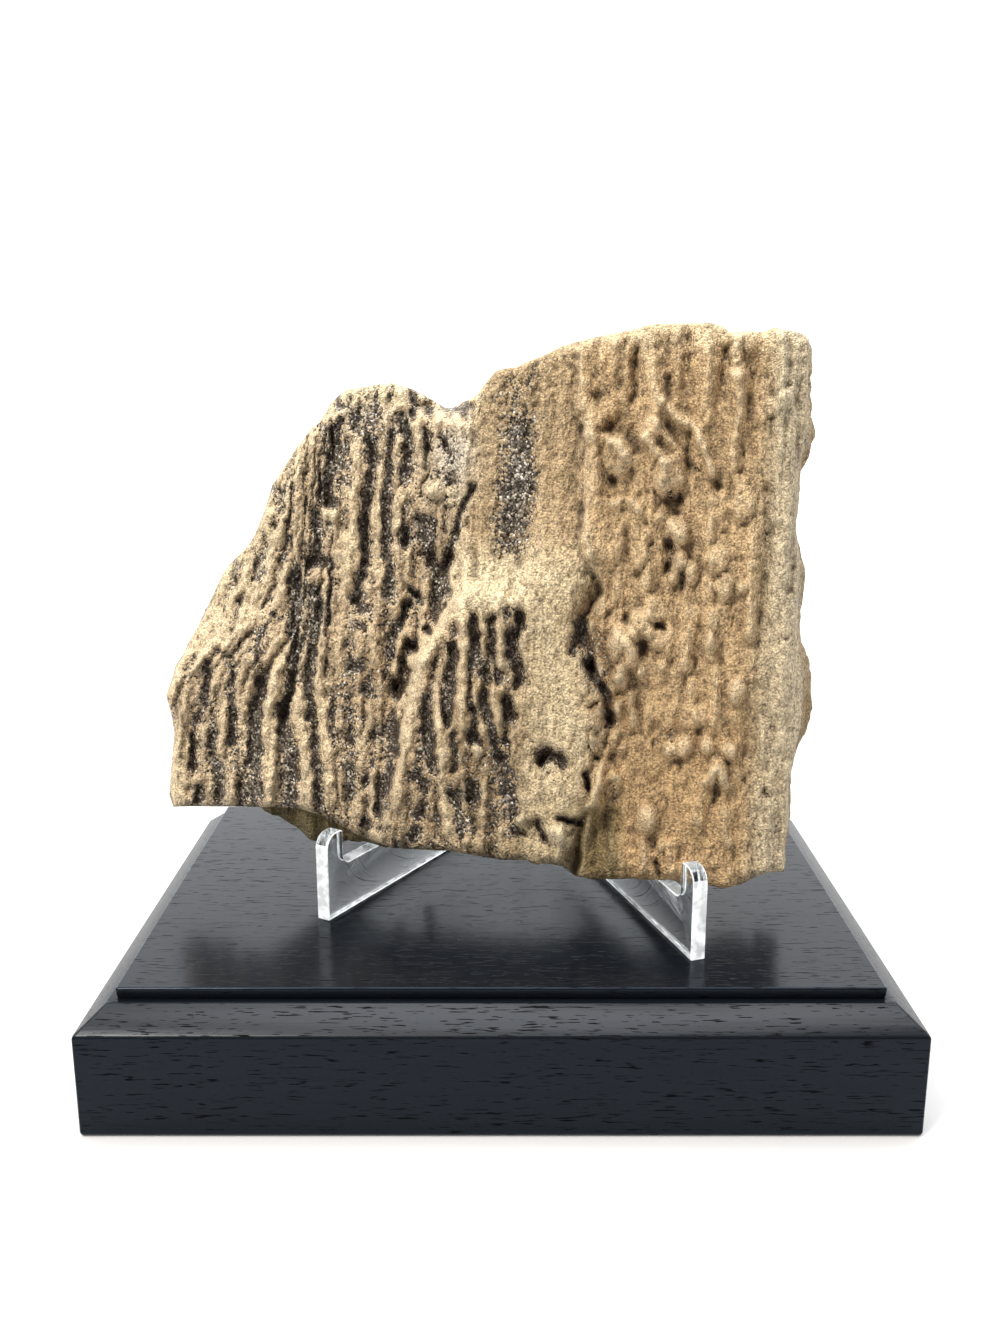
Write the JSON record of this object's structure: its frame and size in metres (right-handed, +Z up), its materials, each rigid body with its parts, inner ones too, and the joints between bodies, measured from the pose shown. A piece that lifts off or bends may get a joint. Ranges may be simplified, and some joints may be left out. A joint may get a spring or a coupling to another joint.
{
  "type": "petrified wood on a display stand",
  "caption": "Petrified wood slab with a druzy, streaked face, leaning on a clear bent easel on a black wooden display base.",
  "frame": {"origin": "centre of the wooden base's underside", "axes": "+X along the base's length to the right, +Y from the front to the back, +Z up"},
  "size_m": [0.254, 0.1778, 0.2392],
  "materials": {
    "stone": "rough fossil wood with sandy tan crusts and dark druzy hollows",
    "clear_acrylic": "clear cast acrylic sheet with polished edges",
    "black_wood": "black stained open-pore wood under satin lacquer"
  },
  "bodies": {
    "root": {"petrified_wood": "stone", "acrylic_easel": "clear_acrylic", "wood_base": "black_wood"}
  },
  "joints": []
}
